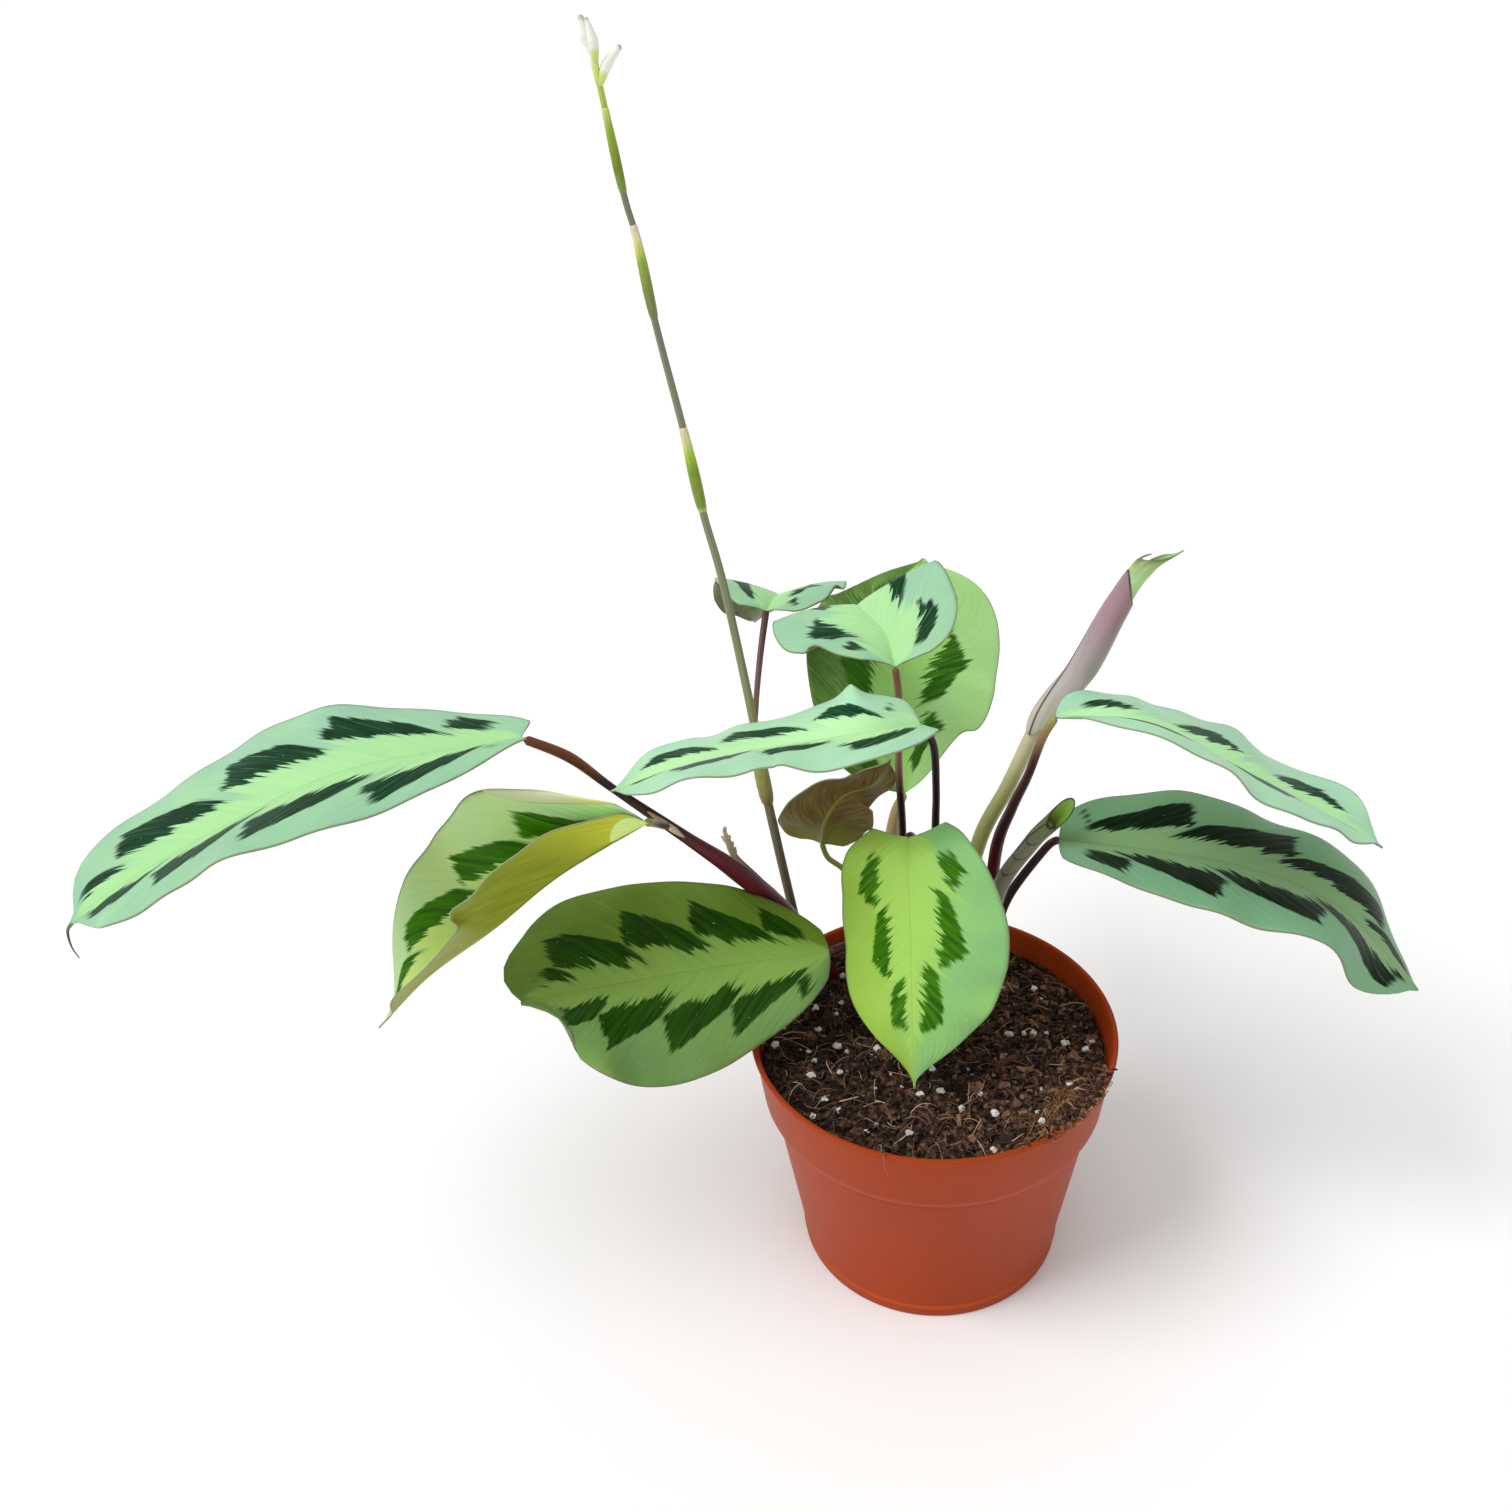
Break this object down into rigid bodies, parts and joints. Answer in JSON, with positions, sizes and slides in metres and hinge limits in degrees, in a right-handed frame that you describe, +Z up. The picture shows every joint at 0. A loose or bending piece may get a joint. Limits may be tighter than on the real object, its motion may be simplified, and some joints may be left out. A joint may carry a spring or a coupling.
{
  "type": "potted prayer plant",
  "caption": "Young leafy house plant with blotched oval blades on thin dark stalks, a tall bare flower stalk and rolled new leaves, growing in a plain round tapered nursery pot of potting mix.",
  "frame": {"origin": "centre of the pot's flat foot, on the surface that the pot stands on", "axes": "+Z up; +X to the plant's right as seen from its front, along the longest spread of the leaves; the front is towards -Y"},
  "size_m": [0.3966, 0.2048, 0.385],
  "materials": {
    "pot_plastic": "smooth moulded terracotta-coloured plastic with a soft sheen",
    "potting_mix": "crumbly dark peat with coir fibres, bark chips and white perlite",
    "patterned_blade": "satin pale green leaf with dark green blotches on each side of a light midrib",
    "yellow_green_blade": "satin yellow-green young leaf with green blotches and an olive underside",
    "deep_green_blade": "satin mid-green leaf with near-black green blotches",
    "rolled_blade": "smooth rolled leaf, pale green below and grey-mauve above",
    "dark_stalk": "smooth dark brown to burgundy stalk with a slight shine",
    "tan_stalk": "smooth tan to pinkish brown stalk",
    "green_stalk": "smooth olive-grey stalk",
    "bract": "smooth green sheathing bract with a cream tip",
    "white_bud": "soft white flower bud",
    "dried_stalk": "dry papery grey-brown flower spike"
  },
  "bodies": {
    "root": {"pot": "pot_plastic", "potting_mix": "potting_mix", "leaf_far_left": "patterned_blade", "leaf_left_folded": "yellow_green_blade", "leaf_front_left": "deep_green_blade", "leaf_mid_left": "patterned_blade", "leaf_front": "yellow_green_blade", "leaf_right_lower": "deep_green_blade", "leaf_right_upper": "patterned_blade", "leaf_upper_middle": "patterned_blade", "leaf_upper_left": "patterned_blade", "leaf_back_upright": "patterned_blade", "leaf_low_back": "patterned_blade", "petiole_far_left": "dark_stalk", "petiole_left_folded": "dark_stalk", "petiole_front_left": "dark_stalk", "petiole_mid_left": "dark_stalk", "petiole_front": "dark_stalk", "petiole_right_lower": "dark_stalk", "petiole_right_upper": "dark_stalk", "petiole_upper_middle": "tan_stalk", "petiole_upper_left": "tan_stalk", "petiole_back_upright": "tan_stalk", "petiole_low_back": "green_stalk", "rolled_leaf_tall": "rolled_blade", "rolled_leaf_small": "rolled_blade", "flower_stalk": "green_stalk", "flower_bud_tall": "white_bud", "flower_bud_short": "white_bud", "dried_flower_spike": "dried_stalk", "bract_at_leaf": "bract", "bract_lower": "bract", "bract_middle": "bract", "bract_upper": "bract"}
  },
  "joints": []
}
